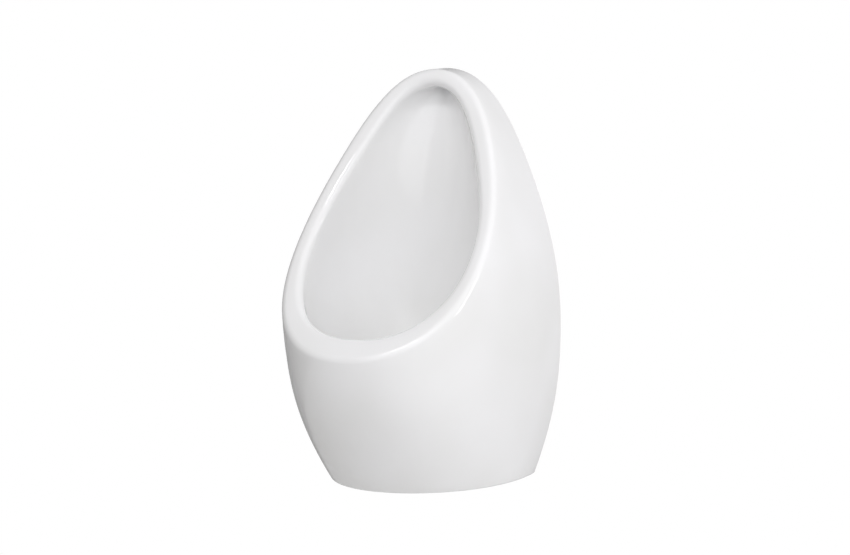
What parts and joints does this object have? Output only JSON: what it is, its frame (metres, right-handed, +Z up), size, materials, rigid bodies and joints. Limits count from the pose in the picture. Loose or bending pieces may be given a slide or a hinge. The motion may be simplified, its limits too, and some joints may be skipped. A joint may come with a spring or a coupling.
{
  "type": "wall hung urinal",
  "caption": "Wall hung urinal: a white china shell with a slanted oval opening, a strainer over its waste, and a bottle trap in its skirt.",
  "frame": {"origin": "middle of the wall face, at the level of the base", "axes": "X to the viewer's right, Y into the wall, Z up"},
  "size_m": [0.3676, 0.4007, 0.6],
  "materials": {
    "china": "gloss",
    "chrome": "polished",
    "brass": "satin",
    "white_plastic": "satin",
    "nylon": "matte",
    "rubber": "matte",
    "pressed_steel": "satin",
    "zinc_steel": "satin"
  },
  "bodies": {
    "shell": {"ceramic_body": "china", "inlet_seal": "rubber", "flush_nozzle": "nylon", "waste_upper_seal": "rubber", "waste_lower_seal": "rubber", "waste_flange": "chrome", "waste_backnut": "brass", "trap_union_nut": "white_plastic", "trap_union_seal": "rubber", "trap_body": "white_plastic", "trap_outlet_nut": "white_plastic", "trap_outlet_seal": "rubber", "outlet_pipe": "white_plastic", "outlet_wall_seal": "rubber", "hanger_bracket_right": "pressed_steel", "hanger_bracket_left": "pressed_steel", "hanger_pads": "rubber", "hanger_washers": "zinc_steel", "hanger_screws": "zinc_steel", "hanger_plugs": "nylon", "lower_sleeves": "nylon", "lower_washers": "zinc_steel", "lower_screws": "zinc_steel", "lower_plugs": "nylon"},
    "strainer": {"waste_strainer": "chrome"},
    "cup": {"trap_cup": "white_plastic", "trap_cup_seal": "rubber"},
    "cup_ring": {"trap_cup_ring": "white_plastic"}
  },
  "joints": [
    {"name": "strainer_lift", "type": "slide", "parent": "shell", "child": "strainer", "axis": [0, 0, 1], "range_m": [0, 0.08]},
    {"name": "cup_drop", "type": "slide", "parent": "shell", "child": "cup", "axis": [0, 0, -1], "range_m": [0, 0.014]},
    {"name": "ring_turn", "type": "hinge", "parent": "cup", "child": "cup_ring", "pos_m": [0, -0.15, 0.04], "axis": [0, 0, -1], "range_deg": [0, 1440]}
  ],
  "couplings": [
    {"joint": "cup_drop", "follows": "ring_turn", "m_per_rad": 0.00055704}
  ]
}
